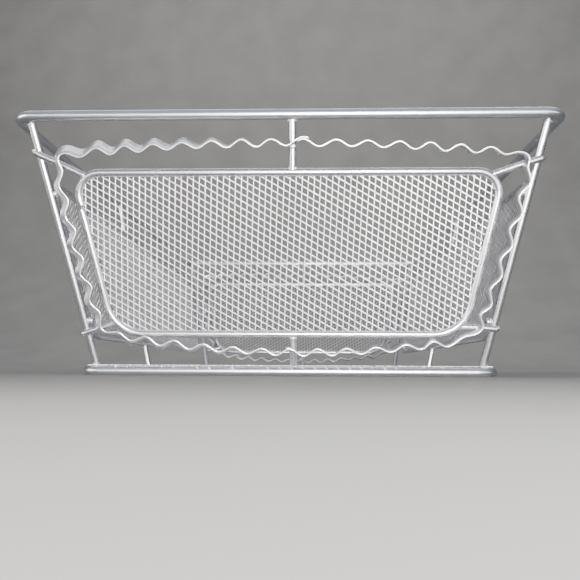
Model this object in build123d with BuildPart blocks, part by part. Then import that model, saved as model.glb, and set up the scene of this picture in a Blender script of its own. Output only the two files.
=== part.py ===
"""Open wire and mesh file basket: a thick rim loop and base loop joined by four corner posts, with a
framed mesh panel hung in each sloping wall by short stays and centre bars, a mesh floor, and a wavy
decorative strip round the panel of each end wall.

Frame: +X across the basket, +Y along it, +Z up. Origin at the centre of the footprint, on the table.
Lengths are in millimetres.
"""

from build123d import *
from math import cos, hypot, pi, sin, sqrt
import os

# Overall size, measured over the wires
RIM_LENGTH = 370.0
RIM_WIDTH = 213.0
BASE_LENGTH = 309.0
BASE_WIDTH = 172.4
HEIGHT = 101.0

# Wire stock
LOOP_WIRE = 4.0
POST_WIRE = 3.2
FRAME_WIRE = 3.2
BAR_WIRE = 2.8
STAY_WIRE = 2.6
SHEET = 0.5

# Loops and posts
RIM_CORNER = 7.0
BASE_CORNER = 7.0
POST_INSET_X = 4.8
POST_INSET_Y = 4.2
POST_TRIM = 0.6

# Framed panels, measured up the slope of the wall from the base wire
FRAME_FOOT = 15.4
FRAME_HEAD = 80.0
FRAME_FOOT_RADIUS = 15.0
FRAME_HEAD_RADIUS = 8.5
END_FRAME_INSET = 16.5
SIDE_FRAME_INSET = 19.0
PANEL_SETBACK = 1.1

# Wavy strip, on the outer side of the stays
STRIP_DEPTH = 4.5
STRIP_THICKNESS = 0.9
STRIP_WAVES = 41
STRIP_SWING = 1.25
STRIP_BACK = 0.3
STRIP_HEAD_SPAN = (-87.5, 92.5)
STRIP_HEAD = 86.5
STRIP_FOOT_SPAN = (-74.2, 75.2)
STRIP_FOOT = 15.4
STRIP_HEAD_RISE = 4.6
STRIP_FOOT_DROP = 6.4
STRIP_SIDE_BOW = 1.3
STRIP_CORNER = 5.5
POINTS_PER_WAVE = 8

# Bars that hold each panel at head and foot, off the middle of the end walls and of the left wall
END_BAR_SHIFT = 2.3
LEFT_BAR_SHIFT = 44.0
BAR_TRIM = 0.6

# Stays: height where each crosses its post, and height where it meets the frame.
# Those of the end walls pass outside the posts, those of the side walls inside them.
END_STAYS = {"upper": (86.3, 78.0), "lower": (16.0, 19.6)}
SIDE_STAYS = {"upper": (70.0, 73.0), "lower": (19.5, 22.0)}
STAY_OVERHANG = 1.4
STAY_BITE = 0.1

BASE_Z = LOOP_WIRE / 2
RIM_Z = HEIGHT - LOOP_WIRE / 2
RISE = RIM_Z - BASE_Z
FLOOR_Z = LOOP_WIRE
RIM_HALF_X = (RIM_WIDTH - LOOP_WIRE) / 2
RIM_HALF_Y = (RIM_LENGTH - LOOP_WIRE) / 2
BASE_HALF_X = (BASE_WIDTH - LOOP_WIRE) / 2
BASE_HALF_Y = (BASE_LENGTH - LOOP_WIRE) / 2

os.makedirs("parts", exist_ok=True)


class Wall:
    """A sloping wall. Its plane has X along the wall, Y up the slope and Z outward."""

    def __init__(
        self, name, outward, bar_at, base_reach, rim_reach, base_half, rim_half, inset, post_insets, stays
    ):
        self.name = name
        self.outward = outward
        self.base_half = base_half
        self.rim_half = rim_half
        self.inset = inset
        self.post_inset, post_depth = post_insets
        self.stays = stays
        self.bar_at = bar_at
        self.slant = hypot(rim_reach - base_reach, RISE)
        lean_cos = RISE / self.slant
        lean_sin = (rim_reach - base_reach) / self.slant
        out_x, out_y = outward
        self.plane = Plane(
            origin=(out_x * base_reach, out_y * base_reach, BASE_Z),
            x_dir=(-out_y, out_x, 0),
            z_dir=(out_x * lean_cos, out_y * lean_cos, -lean_sin),
        )
        wires_apart = (POST_WIRE + STAY_WIRE) / 2 - STAY_BITE
        self.inside_post = post_depth * lean_cos + wires_apart

    def half_span(self, height):
        """Distance from the middle of the wall to its corner edge, at a height up the slope."""
        return self.base_half + (self.rim_half - self.base_half) * height / self.slant

    def frame_half(self, height):
        return self.half_span(height) - self.inset

    def post_half(self, height):
        return self.half_span(height) - self.post_inset

    def frame_wire_half(self, height):
        """Where the frame's wire runs at a height, its bent corners included."""
        flare = (self.rim_half - self.base_half) / self.slant
        side_cos = 1 / hypot(1, flare)
        bends = (
            (FRAME_FOOT + FRAME_FOOT_RADIUS, FRAME_FOOT_RADIUS, -1),
            (FRAME_HEAD - FRAME_HEAD_RADIUS, FRAME_HEAD_RADIUS, 1),
        )
        for centre, radius, toward in bends:
            tangent = centre - radius * flare * side_cos
            if (height - tangent) * toward > 0:
                return self.frame_half(centre) - radius / side_cos + sqrt(radius**2 - (height - centre) ** 2)
        return self.frame_half(height)

    def point(self, along, up, setback=PANEL_SETBACK):
        """A point in the layer of the panel frames and bars, or at another depth behind the wall."""
        return self.plane.from_local_coords((along, up, -setback))


END_POSTS = (POST_INSET_X, POST_INSET_Y)
SIDE_POSTS = (POST_INSET_Y, POST_INSET_X)
END_WALL = (BASE_HALF_Y, RIM_HALF_Y, BASE_HALF_X, RIM_HALF_X, END_FRAME_INSET, END_POSTS, END_STAYS)
SIDE_WALL = (BASE_HALF_X, RIM_HALF_X, BASE_HALF_Y, RIM_HALF_Y, SIDE_FRAME_INSET, SIDE_POSTS, SIDE_STAYS)
WALLS = [
    Wall("front", (0, -1), END_BAR_SHIFT, *END_WALL),
    Wall("rear", (0, 1), -END_BAR_SHIFT, *END_WALL),
    Wall("left", (-1, 0), LEFT_BAR_SHIFT, *SIDE_WALL),
    Wall("right", (1, 0), 0.0, *SIDE_WALL),
]
END_WALLS = WALLS[:2]


def save(piece, name):
    """Label a finished piece and write it to its own file."""
    piece.part.label = name
    export_step(piece.part, f"parts/{name}.step")


def loop_wire(half_x, half_y, corner, height):
    """A closed rectangular wire loop with bent corners."""
    with BuildPart() as loop:
        with BuildLine(Plane.XY.offset(height)) as outline:
            FilletPolyline(
                (-half_x, -half_y), (half_x, -half_y), (half_x, half_y), (-half_x, half_y),
                radius=corner,
                close=True,
            )
        route = outline.wire()
        with BuildSketch(Plane(origin=route @ 0, z_dir=route % 0)):
            Circle(LOOP_WIRE / 2)
        sweep(path=route)
    return loop


def straight_wire(start, end, diameter, *cut_by):
    """A straight wire between two points, its ends coped round the wires it is welded to."""
    run = Vector(*end) - Vector(*start)
    with BuildPart() as wire:
        with BuildSketch(Plane(origin=start, z_dir=run)):
            Circle(diameter / 2)
        extrude(amount=run.length)
        for neighbour in cut_by:
            add(neighbour.part, mode=Mode.SUBTRACT)
    return wire


def frame_outline(wall):
    """Centre line of a wall's panel frame: a trapezoid with bent corners."""
    foot_half = wall.frame_half(FRAME_FOOT)
    head_half = wall.frame_half(FRAME_HEAD)
    return FilletPolyline(
        (-foot_half, FRAME_FOOT),
        (foot_half, FRAME_FOOT),
        (head_half, FRAME_HEAD),
        (-head_half, FRAME_HEAD),
        radius=[FRAME_FOOT_RADIUS, FRAME_FOOT_RADIUS, FRAME_HEAD_RADIUS, FRAME_HEAD_RADIUS],
        close=True,
    )


def panel_frame(wall):
    """The round-cornered wire frame of a wall's mesh panel."""
    with BuildPart() as frame:
        with BuildLine(wall.plane.offset(-PANEL_SETBACK)) as outline:
            frame_outline(wall)
        route = outline.wire()
        with BuildSketch(Plane(origin=route @ 0, z_dir=route % 0)):
            Circle(FRAME_WIRE / 2)
        sweep(path=route)
    return frame


def panel_mesh(wall):
    """The mesh sheet inside a wall's frame, as a thin plate that reaches the wire all round."""
    with BuildPart() as mesh:
        with BuildSketch(wall.plane.offset(-PANEL_SETBACK)):
            with BuildLine():
                frame_outline(wall)
            make_face()
            offset(amount=-FRAME_WIRE / 2, mode=Mode.REPLACE)
        extrude(amount=SHEET / 2, both=True)
    return mesh


def strip_route(hand):
    """Centre line of the wavy strip before it is crimped: four bowed runs with bent corners."""
    foot_left, foot_right = sorted(hand * reach for reach in STRIP_FOOT_SPAN)
    head_left, head_right = sorted(hand * reach for reach in STRIP_HEAD_SPAN)
    side_y = (STRIP_FOOT + STRIP_HEAD) / 2
    left_x = (foot_left + head_left) / 2 - STRIP_SIDE_BOW
    right_x = (foot_right + head_right) / 2 + STRIP_SIDE_BOW
    foot_middle = ((foot_left + foot_right) / 2, STRIP_FOOT - STRIP_FOOT_DROP)
    head_middle = ((head_left + head_right) / 2, STRIP_HEAD + STRIP_HEAD_RISE)
    with BuildLine() as outline:
        ThreePointArc((foot_left, STRIP_FOOT), foot_middle, (foot_right, STRIP_FOOT))
        ThreePointArc((foot_right, STRIP_FOOT), (right_x, side_y), (head_right, STRIP_HEAD))
        ThreePointArc((head_right, STRIP_HEAD), head_middle, (head_left, STRIP_HEAD))
        ThreePointArc((head_left, STRIP_HEAD), (left_x, side_y), (foot_left, STRIP_FOOT))
        fillet(outline.vertices(), radius=STRIP_CORNER)
    return outline.wire()


def strip_edge(route, side):
    """Points on one face of the crimped strip. side is the distance from the strip's mid-line."""
    count = STRIP_WAVES * POINTS_PER_WAVE
    points = []
    for i in range(count):
        place = i / count
        phase = 2 * pi * STRIP_WAVES * place
        along = route % place
        across = Vector(-along.Y, along.X, 0)
        slope = -STRIP_SWING * 2 * pi * STRIP_WAVES / route.length * sin(phase)
        face = (across - along * slope).normalized()
        points.append(route @ place + across * (STRIP_SWING * cos(phase)) + face * side)
    return points


def wavy_strip(wall, route):
    """The crimped strip that stands edge-on round an end wall's panel."""
    with BuildPart() as strip:
        with BuildSketch(wall.plane.offset(STRIP_BACK)):
            with BuildLine():
                Spline(*strip_edge(route, -STRIP_THICKNESS / 2), periodic=True)
            make_face()
            with BuildLine():
                Spline(*strip_edge(route, STRIP_THICKNESS / 2), periodic=True)
            make_face(mode=Mode.SUBTRACT)
        extrude(amount=STRIP_DEPTH)
    return strip


# Rim and base loops
top_rim = loop_wire(RIM_HALF_X, RIM_HALF_Y, RIM_CORNER, RIM_Z)
save(top_rim, "top_rim")
base_rim = loop_wire(BASE_HALF_X, BASE_HALF_Y, BASE_CORNER, BASE_Z)
save(base_rim, "base_rim")

# Corner posts, butted between the two loops just inside their corners
posts = {}
for end_name, end_y in (("front", -1), ("rear", 1)):
    for side_name, side_x in (("left", -1), ("right", 1)):
        foot = (
            side_x * (BASE_HALF_X - POST_INSET_X),
            end_y * (BASE_HALF_Y - POST_INSET_Y),
            BASE_Z + POST_TRIM,
        )
        head = (
            side_x * (RIM_HALF_X - POST_INSET_X),
            end_y * (RIM_HALF_Y - POST_INSET_Y),
            RIM_Z - POST_TRIM,
        )
        post = straight_wire(foot, head, POST_WIRE, top_rim, base_rim)
        posts[side_x, end_y] = post
        save(post, f"{end_name}_{side_name}_post")

# Framed mesh panel, centre bars and corner stays of each wall
lower_bars = []
for wall in WALLS:
    frame = panel_frame(wall)
    save(frame, f"{wall.name}_panel_frame")
    save(panel_mesh(wall), f"{wall.name}_panel_mesh")

    upper_ends = wall.point(wall.bar_at, FRAME_HEAD), wall.point(wall.bar_at, wall.slant - BAR_TRIM)
    save(straight_wire(*upper_ends, BAR_WIRE, frame, top_rim), f"{wall.name}_upper_bar")
    lower_ends = wall.point(wall.bar_at, BAR_TRIM), wall.point(wall.bar_at, FRAME_FOOT)
    lower_bars.append(straight_wire(*lower_ends, BAR_WIRE, frame, base_rim))
    save(lower_bars[-1], f"{wall.name}_lower_bar")

    post_side = PANEL_SETBACK if wall in END_WALLS else wall.inside_post
    for level, (post_height, frame_height) in wall.stays.items():
        for hand, sign in (("a", -1), ("b", 1)):
            reach = wall.post_half(post_height) + STAY_OVERHANG
            outer_end = wall.point(sign * reach, post_height, post_side)
            inner_end = wall.point(sign * wall.frame_wire_half(frame_height), frame_height)
            stay = straight_wire(outer_end, inner_end, STAY_WIRE, frame, *posts.values())
            save(stay, f"{wall.name}_{level}_stay_{hand}")

# Wavy strips of the end walls, the rear one a mirror image of the front one
for wall, hand in zip(END_WALLS, (1, -1)):
    save(wavy_strip(wall, strip_route(hand)), f"{wall.name}_wavy_strip")

# Mesh floor, laid on the base loop and cut round the posts and bars that pass it
with BuildPart() as floor_mesh:
    with BuildSketch(Plane.XY.offset(FLOOR_Z)):
        RectangleRounded(2 * BASE_HALF_X, 2 * BASE_HALF_Y, BASE_CORNER)
    extrude(amount=SHEET)
    for neighbour in [*posts.values(), *lower_bars]:
        add(neighbour.part, mode=Mode.SUBTRACT)
save(floor_mesh, "floor_mesh")
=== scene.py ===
"""Looks for the open wire and mesh file basket: expanded metal, crimped strips, welds and satin finish."""

from math import cos, hypot, pi, radians, sin

import bpy
import numpy as np
from mathutils import Matrix, Vector


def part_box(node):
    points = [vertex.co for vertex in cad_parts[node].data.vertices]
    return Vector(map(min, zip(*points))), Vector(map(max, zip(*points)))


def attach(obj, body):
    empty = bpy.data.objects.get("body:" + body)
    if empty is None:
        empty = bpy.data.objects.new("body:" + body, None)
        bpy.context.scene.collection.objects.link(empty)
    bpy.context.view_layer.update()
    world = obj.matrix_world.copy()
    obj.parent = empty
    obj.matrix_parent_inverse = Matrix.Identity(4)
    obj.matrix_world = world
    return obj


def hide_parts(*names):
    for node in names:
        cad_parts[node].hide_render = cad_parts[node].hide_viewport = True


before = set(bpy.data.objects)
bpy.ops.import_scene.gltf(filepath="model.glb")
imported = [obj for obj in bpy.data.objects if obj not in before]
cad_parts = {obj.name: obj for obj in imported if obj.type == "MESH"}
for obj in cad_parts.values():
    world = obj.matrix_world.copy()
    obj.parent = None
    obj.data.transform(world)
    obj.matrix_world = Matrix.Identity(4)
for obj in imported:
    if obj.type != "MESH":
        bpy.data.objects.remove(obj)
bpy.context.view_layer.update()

MM = 0.001
SEED = 7
SCENE = bpy.context.scene


def loop_size(node):
    """Half width and half length of a loop's centre line, its height and its wire's radius, to 0.1 mm."""
    low, high = (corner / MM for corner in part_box(node))
    reach = (high - low) / 2
    wire = round(reach.z, 1)
    return (round(reach.x - wire, 1), round(reach.y - wire, 1)), round((low.z + high.z) / 2, 1), wire


# Sizes in millimetres. The loops are read from the CAD model, and the rest is as it is there.
RIM_HALF, RIM_Z, LOOP_R = loop_size("top_rim")
BASE_HALF, BASE_Z, _ = loop_size("base_rim")
RISE = RIM_Z - BASE_Z
POST_R = 1.6
FRAME_R = 1.6
STAY_R = 1.3
POST_INSET = (4.8, 4.2)
END_FRAME_INSET = 16.5
SIDE_FRAME_INSET = 19.0
END_BAR_SHIFT = 2.3
LEFT_BAR_SHIFT = 44.0
FRAME_FOOT = 15.4
FRAME_HEAD = 80.0
FRAME_FOOT_RADIUS = 15.0
FRAME_HEAD_RADIUS = 8.5
PANEL_SETBACK = 1.1
BASE_CORNER = 7.0
# Heights of a wall's stays at the post and at the frame
END_STAYS = {"upper": (86.3, 78.0), "lower": (16.0, 19.6)}
SIDE_STAYS = {"upper": (70.0, 73.0), "lower": (19.5, 22.0)}

# Expanded metal: step to the next node along each of the two strands that cross there
STEP_B = np.array((2.30, -1.33))
STEP_C = np.array((-0.12, -2.70))
STRAND_HALF = 0.21
THIN_STRAND_HALF = 0.15
STRAND_THICK = 0.21
THICK_SCATTER = 0.08
BOND_STRETCH = 1.15
BOND_TILT = 0.09
NODE_JITTER = 0.012
SHEET_MARGIN = 4

# Cut strands of the floor run out over the base wire, and some are bent down round it (turns in degrees)
HEM_HALF = 0.42
HEM_R = LOOP_R + 0.30
HEM_MOST_SLIP = 1.6
HEM_BENT_SHARE = 0.5
HEM_BENT = (45, 85)
HEM_LOW = (6, 24)
HEM_LEAST = 8
HEM_STEPS = 5
CORNER_ROOM = 10
# Cosines between a strand and the way out: below the first it ends flat, above the second it is hardly bent
GRAZING, STRAIGHT_OUT = 0.4, 0.9
FLOOR_LIFT = 0.30

rng = np.random.default_rng(SEED)


# ---------------------------------------------------------------- materials

# Shades of a metal's tone from cloud to cloud, by the noise's value
CLOUD_SHADES = [(0.3, 0.90), (0.55, 1.0), (0.75, 1.05)]
CLOUD_SCALE = 60.0
GLOSS_BELOW, GLOSS_ABOVE = 0.04, 0.05
RELIEF_DEPTH = 0.0002


def new_material(name):
    material = bpy.data.materials.new(name)
    material.use_nodes = True
    nodes = material.node_tree.nodes
    return material, nodes, material.node_tree.links, nodes["Principled BSDF"]


def noise(nodes, links, coords, scale, detail=2.0, roughness=0.5):
    node = nodes.new("ShaderNodeTexNoise")
    node.inputs["Scale"].default_value = scale
    node.inputs["Detail"].default_value = detail
    node.inputs["Roughness"].default_value = roughness
    links.new(coords, node.inputs["Vector"])
    return node.outputs["Fac"]


def ramp(nodes, links, source, stops):
    node = nodes.new("ShaderNodeValToRGB")
    elements = node.color_ramp.elements
    elements[0].position, elements[1].position = stops[0][0], stops[-1][0]
    elements[0].color, elements[1].color = (*stops[0][1], 1), (*stops[-1][1], 1)
    for position, color in stops[1:-1]:
        elements.new(position).color = (*color, 1)
    links.new(source, node.inputs["Fac"])
    return node.outputs["Color"]


def remap(nodes, links, source, low, high):
    node = nodes.new("ShaderNodeMapRange")
    node.inputs["To Min"].default_value = low
    node.inputs["To Max"].default_value = high
    links.new(source, node.inputs["Value"])
    return node.outputs["Result"]


def satin_metal(name, tone, rough, grain=900.0, bump=0.12, metallic=0.92):
    """Silver-coated wire: a fine sprayed grain, faint cloudy tone and slightly uneven gloss."""
    material, nodes, links, shader = new_material(name)
    coords = nodes.new("ShaderNodeTexCoord").outputs["Object"]
    cloud = noise(nodes, links, coords, CLOUD_SCALE, detail=3.0)
    shades = [(position, tuple(np.array(tone) * shade)) for position, shade in CLOUD_SHADES]
    links.new(ramp(nodes, links, cloud, shades), shader.inputs["Base Color"])
    speck = noise(nodes, links, coords, grain, roughness=0.6)
    gloss = remap(nodes, links, speck, rough - GLOSS_BELOW, rough + GLOSS_ABOVE)
    links.new(gloss, shader.inputs["Roughness"])
    relief = nodes.new("ShaderNodeBump")
    relief.inputs["Strength"].default_value = bump
    relief.inputs["Distance"].default_value = RELIEF_DEPTH
    links.new(speck, relief.inputs["Height"])
    links.new(relief.outputs["Normal"], shader.inputs["Normal"])
    shader.inputs["Metallic"].default_value = metallic
    return material


def floor_material():
    """A plain matt sweep with a faint, soft mottle."""
    material, nodes, links, shader = new_material("studio_floor")
    coords = nodes.new("ShaderNodeTexCoord").outputs["Object"]
    soft = noise(nodes, links, coords, scale=9.0, detail=4.0)
    color = ramp(nodes, links, soft, [(0.35, (0.175, 0.173, 0.168)), (0.65, (0.195, 0.193, 0.187))])
    links.new(color, shader.inputs["Base Color"])
    shader.inputs["Roughness"].default_value = 0.95
    shader.inputs["Specular IOR Level"].default_value = 0.1
    return material


def mesh_metal(name, tone, rough, metallic):
    return satin_metal(name, tone, rough, grain=1500.0, bump=0.06, metallic=metallic)


LOOP = satin_metal("satin_silver_loop", (0.56, 0.57, 0.605), 0.29, bump=0.02, metallic=1.0)
WIRE = satin_metal("satin_silver_wire", (0.60, 0.595, 0.625), 0.28, bump=0.02, metallic=1.0)
MESH = mesh_metal("satin_silver_mesh", (0.92, 0.905, 0.93), 0.40, metallic=0.75)
# Painted shade: the same coating, but darker, so that the front mesh stands out from the rear and side ones,
# which stand in shade inside the basket
SHADE_PAINTED_MESH = mesh_metal("satin_silver_inner_mesh", (0.47, 0.462, 0.48), 0.42, metallic=0.85)
STRIP = satin_metal("satin_silver_strip", (0.74, 0.73, 0.765), 0.33, bump=0.03, metallic=0.95)
WELD = satin_metal("satin_silver_weld", (0.66, 0.655, 0.68), 0.46, grain=1400.0, bump=0.3)


# ---------------------------------------------------------------- geometry helpers


def unit(vector):
    vector = np.asarray(vector, float)
    return vector / np.linalg.norm(vector)


def unit_rows(vectors):
    return vectors / np.linalg.norm(vectors, axis=1)[:, None]


def left_of(directions):
    return np.stack((-directions[:, 1], directions[:, 0]), axis=1)


def arc_lengths(points):
    """Distance of each point from the first, along the path."""
    return np.concatenate(([0], np.cumsum(np.linalg.norm(np.diff(points, axis=0), axis=1))))


def read_along(spots, arc, points):
    """The points at given distances along a path."""
    return np.stack([np.interp(spots, arc, points[:, k]) for k in range(points.shape[1])], axis=1)


def add_piece(name, verts, faces, material, slot, replaced=()):
    """A smooth mesh from points in millimetres in the row frame."""
    mesh = bpy.data.meshes.new(name)
    mesh.from_pydata((np.asarray(verts, float) * MM).tolist(), [], faces)
    mesh.polygons.foreach_set("use_smooth", [True] * len(mesh.polygons))
    mesh.update()
    piece = bpy.data.objects.new(name, mesh)
    SCENE.collection.objects.link(piece)
    mesh.materials.append(material)
    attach(piece, "root")
    if replaced:
        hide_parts(*replaced)


class Batch:
    """Several closed shapes gathered into one piece."""

    def __init__(self):
        self.verts = []
        self.faces = []

    def add(self, verts, faces):
        start = len(self.verts)
        self.verts.extend(verts)
        self.faces.extend([tuple(start + k for k in face) for face in faces])


def ring_faces(rings, count):
    """Quads between successive rings of count vertices each."""
    faces = []
    for i in range(rings - 1):
        for k in range(count):
            a, b = i * count + k, i * count + (k + 1) % count
            faces.append((a, b, b + count, a + count))
    return faces


def sweep(path, radius, normal, sides, thin=1.0):
    """A closed wire along a path. normal is roughly across the path; thin squeezes the section along it."""
    path = np.asarray(path, float)
    count = len(path)
    radius = np.broadcast_to(radius, count)
    thin = np.broadcast_to(thin, count)
    along = unit_rows(np.gradient(path, axis=0))
    across = unit_rows(np.asarray(normal, float) - along * (along @ np.asarray(normal, float))[:, None])
    beside = np.cross(along, across)
    turn = np.arange(sides) * 2 * pi / sides
    ring = (
        across[:, None, :] * (np.cos(turn)[None, :] * (radius * thin)[:, None])[:, :, None]
        + beside[:, None, :] * (np.sin(turn)[None, :] * radius[:, None])[:, :, None]
    )
    verts = (path[:, None, :] + ring).reshape(-1, 3)
    faces = ring_faces(count, sides)
    faces.append(tuple(range(sides))[::-1])
    faces.append(tuple((count - 1) * sides + k for k in range(sides)))
    return list(map(tuple, verts)), faces


def smooth_path(points, per_run):
    """A Catmull-Rom curve through a few points."""
    points = [np.asarray(p, float) for p in points]
    padded = [2 * points[0] - points[1], *points, 2 * points[-1] - points[-2]]
    out = []
    for i in range(1, len(padded) - 2):
        p0, p1, p2, p3 = padded[i - 1 : i + 3]
        for t in np.arange(per_run) / per_run:
            out.append(
                0.5 * (2 * p1 + (p2 - p0) * t + (2 * p0 - 5 * p1 + 4 * p2 - p3) * t**2
                       + (3 * p1 - p0 - 3 * p2 + p3) * t**3)
            )
    out.append(points[-1])
    return np.array(out)


def bead(centre, axes, sizes, rough=0.10, rings=8, segments=12):
    """A small uneven weld bead: an ellipsoid with a lumpy surface."""
    centre = np.asarray(centre, float)
    axes = [unit(axis) for axis in axes]
    phase = rng.uniform(0, 2 * pi, 4)

    def point(polar, turn):
        lump = 1 + rough * (sin(2 * turn + phase[0]) * sin(polar) + sin(3 * polar + phase[1]) * 0.6
                            + 0.5 * cos(3 * turn + 2 * polar + phase[2]))
        direction = (cos(polar), sin(polar) * cos(turn), sin(polar) * sin(turn))
        return tuple(centre + sum(a * s * d * lump for a, s, d in zip(axes, sizes, direction)))

    verts = [point(0.0, 0.0)]
    for i in range(1, rings):
        for k in range(segments):
            verts.append(point(pi * i / rings, 2 * pi * k / segments))
    verts.append(point(pi, 0.0))
    last = len(verts) - 1
    faces = []
    for k in range(segments):
        n = (k + 1) % segments
        faces.append((0, 1 + k, 1 + n))
        faces.append((last, last - segments + n, last - segments + k))
    for i in range(rings - 2):
        for k in range(segments):
            a = 1 + i * segments + k
            b = 1 + i * segments + (k + 1) % segments
            faces.append((a, a + segments, b + segments, b))
    return verts, faces


# ---------------------------------------------------------------- walls


class Wall:
    """A sloping wall's plane: u along the wall, v up the slope, w outward."""

    def __init__(
        self, name, outward, bar_at, base_reach, rim_reach, base_half, rim_half, inset, post_insets, stays
    ):
        self.name = name
        self.is_end = outward[0] == 0
        self.base_half = base_half
        self.rim_half = rim_half
        self.inset = inset
        self.post_inset = post_insets[0]
        self.stays = stays
        self.bar_at = bar_at
        self.slant = hypot(rim_reach - base_reach, RISE)
        lean_cos = RISE / self.slant
        lean_sin = (rim_reach - base_reach) / self.slant
        out_x, out_y = outward
        self.origin = np.array((out_x * base_reach, out_y * base_reach, BASE_Z))
        self.u = np.array((-out_y, out_x, 0.0))
        self.w = np.array((out_x * lean_cos, out_y * lean_cos, -lean_sin))
        self.v = np.cross(self.w, self.u)
        self.post_depth = -post_insets[1] * lean_cos

    def half_span(self, height):
        return self.base_half + (self.rim_half - self.base_half) * height / self.slant

    def frame_half(self, height):
        return self.half_span(height) - self.inset

    def post_half(self, height):
        return self.half_span(height) - self.post_inset

    def at(self, u, v, w=-PANEL_SETBACK):
        return self.origin + u * self.u + v * self.v + w * self.w


END = (BASE_HALF[1], RIM_HALF[1], BASE_HALF[0], RIM_HALF[0], END_FRAME_INSET, POST_INSET, END_STAYS)
SIDE = (BASE_HALF[0], RIM_HALF[0], BASE_HALF[1], RIM_HALF[1], SIDE_FRAME_INSET, POST_INSET[::-1], SIDE_STAYS)
WALLS = [
    Wall("front", (0, -1), END_BAR_SHIFT, *END),
    Wall("rear", (0, 1), -END_BAR_SHIFT, *END),
    Wall("left", (-1, 0), LEFT_BAR_SHIFT, *SIDE),
    Wall("right", (1, 0), 0.0, *SIDE),
]


def rounded_outline(corners, radii, steps=10):
    """A closed convex outline, counter-clockwise, with rounded corners."""
    corners = [np.asarray(c, float) for c in corners]
    out = []
    for k, corner in enumerate(corners):
        before = unit(corners[k - 1] - corner)
        after = unit(corners[(k + 1) % len(corners)] - corner)
        half = np.arccos(np.clip(before @ after, -1, 1)) / 2
        centre = corner + unit(before + after) * radii[k] / sin(half)
        x, y = corner + before * radii[k] / np.tan(half) - centre
        for t in np.linspace(0, pi - 2 * half, steps):
            out.append(centre + np.array((x * cos(t) - y * sin(t), x * sin(t) + y * cos(t))))
    return np.array(out)


def frame_outline(wall):
    foot, head = wall.frame_half(FRAME_FOOT), wall.frame_half(FRAME_HEAD)
    return rounded_outline(
        [(-foot, FRAME_FOOT), (foot, FRAME_FOOT), (head, FRAME_HEAD), (-head, FRAME_HEAD)],
        [FRAME_FOOT_RADIUS, FRAME_FOOT_RADIUS, FRAME_HEAD_RADIUS, FRAME_HEAD_RADIUS],
    )


# ---------------------------------------------------------------- expanded metal


def crotch(p, q):
    """Where the edges of two neighbouring arms meet."""
    sine = abs(float(ARMS[p][0] * ARMS[q][1] - ARMS[p][1] * ARMS[q][0]))
    return ARMS[p] * (HALVES[q] / sine) + ARMS[q] * (HALVES[p] / sine)


# Arms of a node, counter-clockwise, and the points between each arm and the next
ARMS = [unit(STEP_B), -unit(STEP_C), -unit(STEP_B), unit(STEP_C)]
HALVES = [STRAND_HALF, THIN_STRAND_HALF, STRAND_HALF, THIN_STRAND_HALF]
CROTCHES = [crotch(k, (k + 1) % 4) * (BOND_STRETCH if k % 2 else 1.0) for k in range(4)]
CROTCH_LIFT = [0.0, BOND_TILT, 0.0, -BOND_TILT]
# Step to a neighbouring node, the arm that leads there, and the neighbour's arm that leads back
LINKS = [((1, 0), 0, 2), ((0, 1), 3, 1)]


def node_grid(outline):
    """Nodes of the mesh over an outline and a little beyond, each slightly out of place."""
    low, high = outline.min(0) - SHEET_MARGIN, outline.max(0) + SHEET_MARGIN
    basis = np.linalg.inv(np.stack((STEP_B, STEP_C), axis=1))
    middle = (low + high) / 2
    spans = [basis @ (np.array((x, y)) - middle) for x in (low[0], high[0]) for y in (low[1], high[1])]
    reach = np.ceil(np.max(np.abs(spans), axis=0)).astype(int) + 1
    ii, jj = np.meshgrid(*(np.arange(-r, r + 1) for r in reach), indexing="ij")
    nodes = middle + ii[..., None] * STEP_B + jj[..., None] * STEP_C
    return nodes + rng.normal(0, NODE_JITTER, nodes.shape)


def depth_inside(outline, points):
    """How far points lie inside a convex outline; negative outside."""
    edges = np.roll(outline, -1, axis=0) - outline
    lengths = np.linalg.norm(edges, axis=1)
    inward = left_of(edges) / lengths[:, None]
    return np.min(points @ inward.T - np.sum(inward * outline, axis=1), axis=1)


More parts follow.
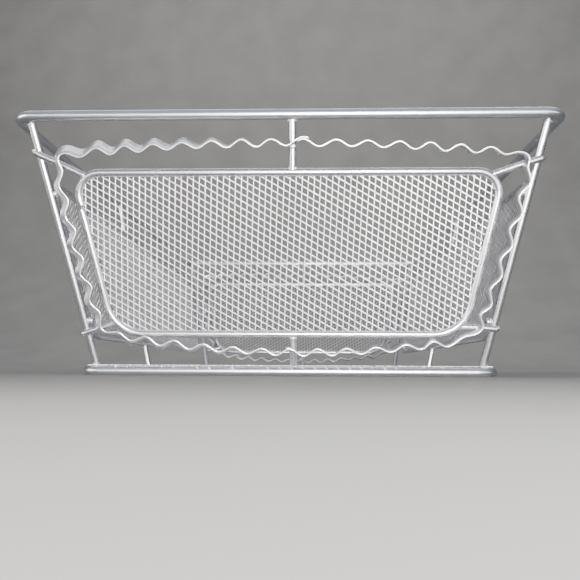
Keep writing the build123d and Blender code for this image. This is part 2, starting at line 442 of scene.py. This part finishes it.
class Sheet:
    """Expanded metal cut to a convex outline, in (u, v, w) points. hem bends the cut ends."""

    def __init__(self, outline, end_depth, keep_depth, hem=None):
        self.nodes = node_grid(outline)
        shape = self.nodes.shape[:2]
        self.depths = depth_inside(outline, self.nodes.reshape(-1, 2)).reshape(shape)
        self.end_depth = end_depth
        self.hem = hem
        self.verts, self.faces, self.first = [], [], {}
        for i, j in np.argwhere(self.depths > keep_depth):
            self.add_node((i, j))
        for i in range(shape[0] - 1):
            for j in range(shape[1] - 1):
                for (di, dj), arm, arm_back in LINKS:
                    self.link((i, j), (i + di, j + dj), arm, arm_back)

    def add_node(self, node):
        self.first[node] = len(self.verts)
        u, v = self.nodes[node]
        thick = STRAND_THICK * (1 + THICK_SCATTER * rng.normal())
        self.verts += [(u, v, thick), (u, v, -thick)]
        self.verts += [(u + c[0], v + c[1], lift) for c, lift in zip(CROTCHES, CROTCH_LIFT)]

    def section(self, node, arm):
        """Top, bottom, left and right vertices where an arm leaves its node."""
        k = self.first[node]
        return k, k + 1, k + 2 + arm, k + 2 + (arm + 3) % 4

    def join(self, a, b):
        """Four faces between two sections that face each other."""
        self.faces.append((a[0], b[0], b[3], a[2]))
        self.faces.append((a[0], a[3], b[2], b[0]))
        self.faces.append((a[1], a[2], b[3], b[1]))
        self.faces.append((a[1], b[1], b[2], a[3]))

    def link(self, here, there, arm, arm_back):
        if here in self.first and there in self.first:
            self.join(self.section(here, arm), self.section(there, arm_back))
        elif here in self.first:
            self.cut_end(here, there, arm)
        elif there in self.first:
            self.cut_end(there, here, arm_back)

    def cut_end(self, node, other, arm):
        """A strand cut off at the edge of the sheet."""
        p, q = self.nodes[node], self.nodes[other]
        along = unit(q - p)
        share = (self.depths[node] - self.end_depth) / max(self.depths[node] - self.depths[other], 1e-6)
        end = p + (q - p) * min(share, 1.0)
        sections = [(end, 0.0)] if self.hem is None else self.hem(end, along)
        beside = np.array((-along[1], along[0])) * (HALVES[arm] if self.hem is None else HEM_HALF)
        last = self.section(node, arm)
        for spot, height in sections:
            k = len(self.verts)
            self.verts.append((*spot, height + STRAND_THICK))
            self.verts.append((*spot, height - STRAND_THICK))
            self.verts.append((*(spot + beside), height))
            self.verts.append((*(spot - beside), height))
            self.join(last, (k, k + 1, k + 3, k + 2))
            last = (k, k + 1, k + 2, k + 3)
        self.faces.append((k + 2, k, k + 3, k + 1))


def wall_sheet(wall):
    """The mesh of a wall, slightly dished here and there."""
    phase = rng.uniform(0, 2 * pi, 3)
    sheet = Sheet(frame_outline(wall), end_depth=0.1, keep_depth=0.5)
    u, v, w = np.array(sheet.verts).T
    dish = 0.22 * np.sin(u / 23 + phase[0]) * np.sin(v / 17 + phase[1]) + 0.10 * np.sin(u / 9 + phase[2])
    w = w + dish - PANEL_SETBACK
    verts = wall.origin + u[:, None] * wall.u + v[:, None] * wall.v + w[:, None] * wall.w
    return verts, sheet.faces


def wrap_hem(end, along):
    """Sections of a cut end that runs out over the base wire; some are bent down round its outer side."""
    x, y = BASE_HALF
    sides = np.array(((0, -1), (0, 1), (-1, 0), (1, 0)))
    room = [end[1] + y, y - end[1], end[0] + x, x - end[0]]
    outward = sides[int(np.argmin(room))]
    climb = float(along @ outward)
    if climb < GRAZING:
        return [(end, 0.0)]
    turn = radians(rng.uniform(*HEM_BENT) if rng.random() < HEM_BENT_SHARE else rng.uniform(*HEM_LOW))
    if np.sort(room)[1] < CORNER_ROOM or climb > STRAIGHT_OUT:
        turn = radians(HEM_LEAST)
    slip = (along - outward * climb) * min(HEM_R / climb, HEM_MOST_SLIP)
    wrapped = [(end, 0.0)]
    for angle in np.linspace(0, turn, HEM_STEPS)[1:]:
        spot = end + outward * HEM_R * sin(angle) + slip * angle
        wrapped.append((spot, HEM_R * (cos(angle) - 1)))
    return wrapped


def floor_sheet():
    """The mesh floor, laid on the base loop and faintly uneven away from it."""
    x, y = BASE_HALF
    outline = rounded_outline([(-x, -y), (x, -y), (x, y), (-x, y)], [BASE_CORNER] * 4)
    sheet = Sheet(outline, end_depth=0.0, keep_depth=0.6, hem=wrap_hem)
    px, py, pz = np.array(sheet.verts).T
    ripple = 0.25 * np.sin(px / 31 + 0.7) * np.sin(py / 37 + 0.4)
    calm = np.clip((np.minimum(x - abs(px), y - abs(py)) - 3) / 20, 0, 1)
    return np.stack((px, py, pz + 2 * BASE_Z + FLOOR_LIFT + ripple * calm), axis=1), sheet.faces


for wall in WALLS:
    # Painted shade: every wall but the front gets the darker copy of the mesh metal
    metal = MESH if wall.name == "front" else SHADE_PAINTED_MESH
    add_piece(f"{wall.name}_expanded_mesh", *wall_sheet(wall), metal, "mesh", [f"{wall.name}_panel_mesh"])
add_piece("floor_expanded_mesh", *floor_sheet(), MESH, "mesh", ["floor_mesh"])


# ---------------------------------------------------------------- wavy strips

STRIP_FRONT = 4.8
STRIP_BACK = 0.3
STRIP_HALF = 0.31
STRIP_CHAMFER = 0.12
STRIP_SWING = 1.3
STRIP_STEP = 0.8
ROUTE_STEP = 0.4
ROUTE_EASE = 19.0
POINTS_PER_SIDE = 400
LAP_START, LAP_END = 4.1, 8.8
LAP_LIFT = 0.95
LAP_LEAD, LAP_EASE = 5.0, 4.0
STRIP_MIDDLE = 50.0
STRIP_CORNERS = [(-87.5, 86.5), (92.6, 86.3), (74.0, 15.0), (-73.2, 17.3)]
# How far each side of the strip bows, and which way
STRIP_SWELLS = [(4.6, (0, 1)), (1.5, (1, 0)), (6.8, (0, -1)), (1.9, (-1, 0))]
# The crest that the upper right bend flattens: by how much, and over how many waves
FLAT_CREST, FLATTENING, FLAT_WAVES = 6, 0.6, 0.45
# The most that the strip's rear edge stands out from its front edge, on each side of the loop
LEFT_LEAN, RIGHT_LEAN, LOWER_LEAN = 3.6, -0.5, 1.2
# Some of the forty outer crests, by number from the lap clockwise, and where each stands on the wall
CRESTS = {
    0: (19.3, 91), 5: (76.8, 89), 6: (88.5, 85.5), 7: (92.3, 75.6), 11: (79.6, 29), 12: (75.8, 19.8),
    13: (63, 11), 14: (53, 10), 24: (-62.5, 13.5), 25: (-73.4, 18.6), 26: (-78.7, 29.7), 30: (-87.4, 74.8),
    31: (-86, 86), 32: (-72.3, 89), 38: (-6, 91.5), 39: (6.2, 91.5),
}


def bowed_sides():
    """The strip's four sides as evenly spaced points, each side bowed, with sharp corners."""
    raw = []
    t = np.linspace(0, 1, POINTS_PER_SIDE, endpoint=False)[:, None]
    for k, (swell, outward) in enumerate(STRIP_SWELLS):
        start, end = np.array(STRIP_CORNERS[k]), np.array(STRIP_CORNERS[(k + 1) % 4])
        raw.append(start + (end - start) * t + np.array(outward) * swell * 4 * t * (1 - t))
    closed = np.vstack((*raw, raw[0][:1]))
    arc = arc_lengths(closed)
    count = int(arc[-1] / ROUTE_STEP)
    return read_along(np.arange(count) * arc[-1] / count, arc, closed)


def strip_route():
    """Centre line of the strip before crimping, with eased corners, clockwise from the lap."""
    even = bowed_sides()
    width = int(ROUTE_EASE / ROUTE_STEP) | 1
    kernel = np.hanning(width + 2)[1:-1]
    kernel /= kernel.sum()
    pad = np.vstack((even[-width:], even, even[:width]))
    eased = np.stack([np.convolve(pad[:, k], kernel, "same") for k in (0, 1)], axis=1)[width:-width]
    off_lap = np.abs(eased[:, 0] - LAP_START) + 1000 * (eased[:, 1] < STRIP_MIDDLE)
    return np.roll(eased, -int(np.argmin(off_lap)), axis=0)


def waves_from_lap(spots, route, arc):
    """Number of waves since crest 0 at given distances along the strip."""
    marks = []
    for place in CRESTS.values():
        marks.append(arc[int(np.argmin(np.linalg.norm(route - np.array(place), axis=1)))])
    marks[-1] += arc[-1]
    numbers = list(CRESTS)
    pitch = (marks[-1] - marks[-2]) / (numbers[-1] - numbers[-2])
    marks = [-2 * pitch + marks[0], *marks, marks[-1] + 2 * pitch]
    numbers = [-2, *numbers, numbers[-1] + 2]
    return np.interp(spots, marks, numbers)


def crimp(spots, waves):
    """How far the strip swings outward, with waves that are slightly uneven in length and height."""
    uneven = 0.03 * np.sin(spots / 13.0 + 1.0)
    swing = STRIP_SWING * np.cos(2 * pi * (waves + uneven)) * (1 + 0.10 * np.sin(spots / 9.0 + 2.0))
    return swing * (1 - FLATTENING * np.exp(-(((waves - FLAT_CREST) / FLAT_WAVES) ** 2)))


def strip_lean(path):
    """How far the strip's rear edge stands out from its front edge at each point of the path."""
    angle = np.arctan2(path[:, 1] - STRIP_MIDDLE, path[:, 0])
    left = np.clip(-np.cos(angle), 0, 1) ** 2
    right = np.clip(np.cos(angle), 0, 1) ** 2
    below = np.clip(-np.sin(angle), 0, 1) ** 2
    return LEFT_LEAN * left + RIGHT_LEAN * right + LOWER_LEAN * below


def wavy_strip(wall, hand):
    """The crimped strip, edge-on to the wall, its two ends lapped by the upper centre bar."""
    route = strip_route()
    closed = np.vstack((route, route[:1]))
    arc = arc_lengths(closed)
    total = arc[-1] + LAP_END - LAP_START
    spots = np.linspace(0, total, int(total / STRIP_STEP))
    path = read_along(spots % arc[-1], arc, closed)
    ahead = read_along((spots % arc[-1] + 0.5) % arc[-1], arc, closed)
    outward = left_of(unit_rows(ahead - path))
    over = np.clip((spots - (arc[-1] - LAP_LEAD)) / LAP_EASE, 0, 1)
    lap = LAP_LIFT * over * over * (3 - 2 * over)
    front = path + outward * (crimp(spots, waves_from_lap(spots, route, arc)) + lap)[:, None]
    face = left_of(unit_rows(np.gradient(front, axis=0)))
    lean = strip_lean(path)
    section = [
        (STRIP_BACK, -STRIP_HALF), (STRIP_BACK, STRIP_HALF),
        (STRIP_FRONT - STRIP_CHAMFER, STRIP_HALF), (STRIP_FRONT, STRIP_HALF - STRIP_CHAMFER),
        (STRIP_FRONT, STRIP_CHAMFER - STRIP_HALF), (STRIP_FRONT - STRIP_CHAMFER, -STRIP_HALF),
    ]
    verts = []
    for k in range(len(spots)):
        for w, t in section:
            rear = (STRIP_FRONT - w) / (STRIP_FRONT - STRIP_BACK)
            spot = front[k] + face[k] * t + outward[k] * lean[k] * rear
            verts.append(tuple(wall.at(hand * spot[0], spot[1], w)))
    n = len(section)
    faces = [(a, d, c, b) for a, b, c, d in ring_faces(len(spots), n)]
    faces.append(tuple(range(n)))
    faces.append(tuple((len(spots) - 1) * n + k for k in range(n))[::-1])
    if hand < 0:
        faces = [face[::-1] for face in faces]
    return verts, faces


for wall, hand in zip(WALLS[:2], (1, -1)):
    name = wall.name
    add_piece(f"{name}_crimped_strip", *wavy_strip(wall, hand), STRIP, "strip", [f"{name}_wavy_strip"])


# ---------------------------------------------------------------- panel frames

# The butt joint in a frame's left side: its height, its gap and how far its ends stand out of line
JOINT_V = 66.5
JOINT_GAP = np.array((0.03, 0.16))
JOINT_ASIDE = 0.22
JOINT_EASE = 9.0
FRAME_STEP = 0.7
# The radius of a cut end, as a share of the wire's
CUT_END = 0.82


def from_joint(wall):
    """The frame's outline as an open path from the joint, counter-clockwise.

    On the side walls it starts with the point above the joint, so the wire doubles back there by 2.7 mm.
    """
    outline = frame_outline(wall)
    right_of_side = outline[:, 0] > -wall.frame_half(70)
    last = int(np.argmax(outline[:, 1] + 0.01 * -outline[:, 0] - 1000 * right_of_side))
    ordered = np.roll(outline, -(last + 1), axis=0)
    if ordered[0, 1] > JOINT_V:
        ordered = np.roll(ordered, -1, axis=0)
    return ordered


def frame_wire(wall):
    """A wire bent round the panel, its two ends butted a little out of line on the left side."""
    joint = np.array((-wall.frame_half(JOINT_V), JOINT_V))
    path = np.vstack((joint - JOINT_GAP, from_joint(wall), joint + JOINT_GAP))
    arc = arc_lengths(path)
    path = read_along(np.linspace(0, arc[-1], int(arc[-1] / FRAME_STEP)), arc, path)
    ease = np.clip(1 - np.arange(len(path)) * FRAME_STEP / JOINT_EASE, 0, 1) ** 2
    aside = JOINT_ASIDE * (ease[::-1] - ease)
    radius = np.full(len(path), FRAME_R)
    radius[0] = radius[-1] = FRAME_R * CUT_END
    points = [wall.at(u + a, v) for (u, v), a in zip(path, aside)]
    return sweep(points, radius, wall.w, sides=16)


for wall in WALLS:
    add_piece(f"{wall.name}_bent_frame", *frame_wire(wall), WIRE, "wire", [f"{wall.name}_panel_frame"])


# ---------------------------------------------------------------- stays

# Heights of the front wall's stays at the post and at the frame, and how far the tip hooks up
FRONT_STAYS = {
    ("upper", -1): (87.3, 78.6, 0.9),
    ("upper", 1): (84.6, 78.6, 0.0),
    ("lower", -1): (15.6, 20.1, 0.0),
    ("lower", 1): (17.8, 18.7, 0.2),
}
TIP_OUT = {"upper": (1.0, 1.5), "lower": (0.5, 1.0)}
TIP_RISE = 0.12
STAY_SCATTER = 0.3
STAY_BOW = 0.25
# How far the tip is cut round, and how far the wire is squashed where it meets the post
TIP_ROUNDING, TIP_SHARE = 0.45, 0.05
SQUASH, SQUASH_AT, SQUASH_SHARE = 0.10, 0.16, 0.08
SIDE_STAY_LAP = 0.15


def frame_edge(wall, height):
    """Where the frame's centre line runs at a height, its bent corners included."""
    outline = frame_outline(wall)
    right_side = outline[outline[:, 0] > 0]
    right_side = right_side[np.argsort(right_side[:, 1])]
    return float(np.interp(height, right_side[:, 1], right_side[:, 0]))


def stay_wire(wall, level, sign):
    """A short wire from its cut tip past the post to the weld on the frame, squashed at the post."""
    post_v, frame_v = wall.stays[level]
    hook = rng.uniform(-STAY_SCATTER, STAY_SCATTER)
    if wall.name == "front":
        post_v, frame_v, hook = FRONT_STAYS[level, sign]
    beside_post = wall.post_depth - POST_R - STAY_R + SIDE_STAY_LAP
    post_w = -PANEL_SETBACK if wall.is_end else beside_post
    post_u = wall.post_half(post_v)
    edge_u = frame_edge(wall, frame_v)
    tip_v = post_v + (post_v - frame_v) * TIP_RISE + hook
    tip_out = rng.uniform(*TIP_OUT[level])
    bow = rng.uniform(-STAY_BOW, STAY_BOW)
    points = [
        wall.at(sign * (post_u + tip_out), tip_v, post_w),
        wall.at(sign * (post_u + 0.2), post_v + hook * 0.2, post_w),
        wall.at(sign * (post_u * 0.55 + edge_u * 0.45), (post_v * 0.55 + frame_v * 0.45) + bow,
                post_w * 0.55 - PANEL_SETBACK * 0.45),
        wall.at(sign * (edge_u + 0.4), frame_v, -PANEL_SETBACK),
    ]
    path = smooth_path(points, 9)
    t = np.linspace(0, 1, len(path))
    radius = STAY_R * (1 - TIP_ROUNDING * np.clip(1 - t / TIP_SHARE, 0, 1) ** 2)
    thin = 1 - SQUASH * np.exp(-(((t - SQUASH_AT) / SQUASH_SHARE) ** 2))
    return sweep(path, radius, wall.w, sides=14, thin=thin), points


# ---------------------------------------------------------------- welds

# Half sizes of the beads, along each of the three axes that they are given
STAY_ON_POST = (1.7, 1.25, 0.9)
STAY_ON_FRAME = (1.5, 1.5, 1.25)
BAR_ON_FRAME = (0.9, 1.9, 1.35)
BAR_ON_LOOP = (0.8, 1.9, 1.45)
STRIP_ON_UPPER_BAR = (1.5, 1.0, 0.9)
STRIP_ON_LOWER_BAR = (1.0, 0.8, 0.9)
POST_UNDER_RIM = (0.8, 1.7, 1.7)
POST_ON_BASE = (0.9, 1.7, 1.7)
POST_ROUGHNESS = 0.14
# Where beads sit: beside the frame or post, from the frame's ends of the bars, and by the strip
WELD_OUT = 0.9
BAR_WELD_GAP = 1.5
BASE_WELD, RIM_WELD_DROP = 2.0, 2.1
STRIP_WELD_HEAD, STRIP_WELD_FOOT, STRIP_WELD_OUT = 89.9, 9.9, 1.0
STRIP_WELD_SHIFT = 2.0
HEAD_DROP, FOOT_RISE = 1.7, 2.0

welds = Batch()


def run_axes(start, end, across):
    """Axes for a bead: along a run of wire, beside it and square to both."""
    along = unit(np.asarray(end) - np.asarray(start))
    beside = unit(np.cross(across, along))
    return [along, beside, np.cross(along, beside)]


def weld_stay(wall, sign, points):
    axes = run_axes(points[0], points[2], wall.w)
    post_side = -wall.w if wall.is_end else wall.w
    welds.add(*bead(points[1] + post_side * STAY_R * 0.9, axes, STAY_ON_POST))
    welds.add(*bead(points[3] + wall.u * sign * WELD_OUT, axes, STAY_ON_FRAME))


def weld_bars(wall):
    axes = [wall.v, wall.u, wall.w]
    for height in (FRAME_HEAD + BAR_WELD_GAP, FRAME_FOOT - BAR_WELD_GAP):
        welds.add(*bead(wall.at(wall.bar_at, height), axes, BAR_ON_FRAME))
    for height in (BASE_WELD, wall.slant - RIM_WELD_DROP):
        welds.add(*bead(wall.at(wall.bar_at, height), axes, BAR_ON_LOOP))


def weld_strip(wall):
    axes = [wall.u, wall.v, wall.w]
    hand = 1 if wall.bar_at > 0 else -1
    head = wall.at(wall.bar_at, STRIP_WELD_HEAD, STRIP_WELD_OUT)
    foot = wall.at(wall.bar_at - hand * STRIP_WELD_SHIFT, STRIP_WELD_FOOT, STRIP_WELD_OUT)
    welds.add(*bead(head, axes, STRIP_ON_UPPER_BAR))
    welds.add(*bead(foot, axes, STRIP_ON_LOWER_BAR))


def weld_post(side_x, end_y):
    side = np.array((side_x, end_y, 0.0))
    inset_x, inset_y = POST_INSET
    foot = np.array((side_x * (BASE_HALF[0] - inset_x), end_y * (BASE_HALF[1] - inset_y), BASE_Z))
    head = np.array((side_x * (RIM_HALF[0] - inset_x), end_y * (RIM_HALF[1] - inset_y), RIM_Z))
    run = unit(head - foot)
    axes = run_axes(foot, head, side)
    out = side * WELD_OUT
    welds.add(*bead(head - run * HEAD_DROP + out * 0.4, axes, POST_UNDER_RIM, rough=POST_ROUGHNESS))
    welds.add(*bead(foot + run * FOOT_RISE + out * 0.5, axes, POST_ON_BASE, rough=POST_ROUGHNESS))


for wall in WALLS:
    for level in ("upper", "lower"):
        for hand, sign in (("a", -1), ("b", 1)):
            (verts, faces), points = stay_wire(wall, level, sign)
            name = f"{wall.name}_{level}_stay_{hand}"
            add_piece(f"{name}_bent", verts, faces, WIRE, "wire", [name])
            weld_stay(wall, sign, points)
    weld_bars(wall)
    if wall.is_end:
        weld_strip(wall)
for side_x in (-1, 1):
    for end_y in (-1, 1):
        weld_post(side_x, end_y)
add_piece("weld_beads", welds.verts, welds.faces, WELD, "wire")


# ---------------------------------------------------------------- CAD wires that keep their shape

for name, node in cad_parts.items():
    if node.hide_render:
        continue
    node.data.materials.clear()
    node.data.materials.append(LOOP if name.endswith("_rim") else WIRE)


# ---------------------------------------------------------------- studio, in metres

SWEEP_HALF = 3.5
SWEEP_FRONT, SWEEP_MIDDLE, SWEEP_BACK = -3.0, -1.0, 1.2
SWEEP_BEND, SWEEP_TOP = 0.9, 2.4
SWEEP_STEPS = 12
# Name, place, point aimed at, size, power and colour
LIGHTS = [
    ("flash", (0.05, -0.56, 0.025), (0, -0.15, 0.04), (0.05, 0.03), 9.0, (1.0, 0.985, 0.96)),
    ("low_strip", (0.1, -0.80, 0.07), (0, -0.15, 0.05), (2.6, 0.09), 7.5, (0.98, 0.99, 1.0)),
    ("overhead_cool", (0.05, -0.60, 1.4), (0, -0.05, 0.05), (2.4, 2.0), 3.6, (0.86, 0.92, 1.0)),
    ("left_warm", (-0.80, -0.50, 0.14), (0, -0.15, 0.05), (0.6, 0.22), 6.0, (1.0, 0.93, 0.82)),
    ("backdrop", (0.0, 0.75, 1.7), (0, 2.0, 0.45), (2.5, 0.6), 45.0, (1.0, 0.99, 0.97)),
]
SKY = [(0.45, (0.12, 0.115, 0.125)), (0.62, (0.36, 0.38, 0.42)), (0.90, (0.78, 0.86, 1.0))]
SKY_STRENGTH = 0.52


def area_light(name, place, target, size, power, color):
    light = bpy.data.lights.new(name, "AREA")
    light.shape = "RECTANGLE"
    light.size, light.size_y = size
    light.energy = power
    light.color = color
    obj = bpy.data.objects.new(name, light)
    SCENE.collection.objects.link(obj)
    obj.location = Vector(place)
    obj.rotation_euler = (Vector(target) - Vector(place)).to_track_quat("-Z", "Y").to_euler()


def studio_floor():
    """A pale sweep: flat floor that curves up far behind the basket."""
    profile = [(SWEEP_FRONT, 0.0), (SWEEP_MIDDLE, 0.0), (SWEEP_BACK, 0.0)]
    for k in range(1, SWEEP_STEPS + 1):
        t = k / SWEEP_STEPS * pi / 2
        profile.append((SWEEP_BACK + SWEEP_BEND * sin(t), SWEEP_BEND * (1 - cos(t))))
    profile.append((SWEEP_BACK + SWEEP_BEND, SWEEP_TOP))
    verts, faces = [], []
    for y, z in profile:
        verts += [(-SWEEP_HALF, y, z), (SWEEP_HALF, y, z)]
    for k in range(len(profile) - 1):
        faces.append((2 * k, 2 * k + 1, 2 * k + 3, 2 * k + 2))
    mesh = bpy.data.meshes.new("studio_floor")
    mesh.from_pydata(verts, [], faces)
    mesh.polygons.foreach_set("use_smooth", [True] * len(faces))
    floor = bpy.data.objects.new("studio_floor", mesh)
    SCENE.collection.objects.link(floor)
    mesh.materials.append(floor_material())


def studio_world():
    """Soft light that is cool from above and dimmer near the ground."""
    world = bpy.data.worlds.new("studio")
    world.use_nodes = True
    nodes, links = world.node_tree.nodes, world.node_tree.links
    coords = nodes.new("ShaderNodeTexCoord").outputs["Generated"]
    split = nodes.new("ShaderNodeSeparateXYZ")
    links.new(coords, split.inputs["Vector"])
    height = remap(nodes, links, split.outputs["Z"], 0.5, 1.0)
    links.new(ramp(nodes, links, height, SKY), nodes["Background"].inputs["Color"])
    nodes["Background"].inputs["Strength"].default_value = SKY_STRENGTH
    SCENE.world = world


studio_floor()
studio_world()
for light in LIGHTS:
    area_light(*light)


# ---------------------------------------------------------------- camera, in millimetres and degrees

SENSOR = 36.0
LENS = 41.5347
YAW, PITCH, ROLL = radians(-1.872), radians(6.668), radians(0.288)
CAMERA_X, CAMERA_Y, CAMERA_Z = 9.71, -427.17, 3.3

camera_data = bpy.data.cameras.new("camera")
camera_data.sensor_width = SENSOR
camera_data.lens = LENS
camera_data.clip_start = 0.01
camera = bpy.data.objects.new("camera", camera_data)
SCENE.collection.objects.link(camera)
ahead = Vector((sin(YAW) * cos(PITCH), cos(YAW) * cos(PITCH), sin(PITCH)))
level = Vector((cos(YAW), -sin(YAW), 0.0))
above = level.cross(ahead)
right = level * cos(ROLL) + above * sin(ROLL)
up = above * cos(ROLL) - level * sin(ROLL)
camera.matrix_world = Matrix((
    (right.x, up.x, -ahead.x, CAMERA_X * MM),
    (right.y, up.y, -ahead.y, CAMERA_Y * MM),
    (right.z, up.z, -ahead.z, CAMERA_Z * MM),
    (0, 0, 0, 1),
))
SCENE.camera = camera

bpy.context.view_layer.update()
